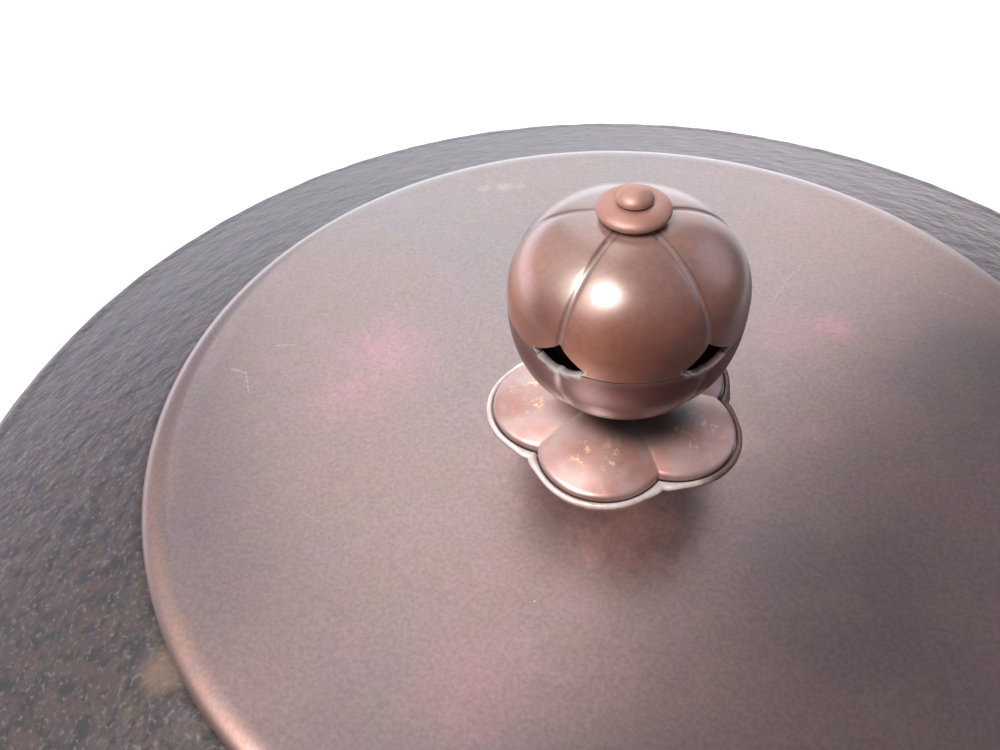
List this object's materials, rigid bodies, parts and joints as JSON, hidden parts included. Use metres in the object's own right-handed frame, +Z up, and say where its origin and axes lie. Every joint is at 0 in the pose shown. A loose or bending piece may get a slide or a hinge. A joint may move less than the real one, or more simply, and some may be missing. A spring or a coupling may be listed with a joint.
{
  "type": "tea kettle",
  "caption": "Round cast iron tea kettle with a sloping shoulder, a domed bronze lid, a pierced ball knob on a petalled seat, and open lifting rings.",
  "frame": {"origin": "centre of the flat foot, on the surface that the kettle stands on", "axes": "+Z up through the middle of the lid and knob; +X towards the right lug and ring; the picture looks along +Y from above"},
  "size_m": [0.2522, 0.2248, 0.1921],
  "materials": {
    "cast_iron": "grainy cast skin, dark brown-grey, dry",
    "forged_iron": "hammered, dark, slightly burnished",
    "lacquer": "dark lacquer filled with iron filings",
    "lid_bronze": "brown patina, satin, with reddish patches and fine scratches",
    "knob_bronze": "chocolate brown patina, polished by handling",
    "copper": "reddish copper patina, satin, worn bright in specks"
  },
  "bodies": {
    "kettle": {"body_shell": "cast_iron", "bottom_pan": "cast_iron", "seam_lacquer": "lacquer", "lug_right": "cast_iron", "lug_left": "cast_iron", "sounding_plate_1": "forged_iron", "sounding_plate_2": "forged_iron", "sounding_plate_3": "forged_iron", "plate_lacquer_1": "lacquer", "plate_lacquer_2": "lacquer", "plate_lacquer_3": "lacquer"},
    "lid": {"lid_plate": "lid_bronze", "lid_locating_ring": "lid_bronze", "under_washer": "lid_bronze", "knob_seat": "copper", "knob_neck": "knob_bronze", "knob_lower_shell": "knob_bronze", "knob_upper_shell": "knob_bronze", "knob_cap": "copper", "knob_pin": "copper"},
    "right_ring": {"ring_right": "forged_iron"},
    "left_ring": {"ring_left": "forged_iron"}
  },
  "joints": [
    {"name": "lid_lift", "type": "slide", "parent": "kettle", "child": "lid", "axis": [0, 0, 1], "range_m": [0, 0.1]},
    {"name": "right_ring_swing", "type": "hinge", "parent": "kettle", "child": "right_ring", "pos_m": [0.1175, 0, 0.09683], "axis": [0, -1, 0], "range_deg": [-7, 195]},
    {"name": "left_ring_swing", "type": "hinge", "parent": "kettle", "child": "left_ring", "pos_m": [-0.1175, 0, 0.09683], "axis": [0, 1, 0], "range_deg": [-7, 195]}
  ]
}
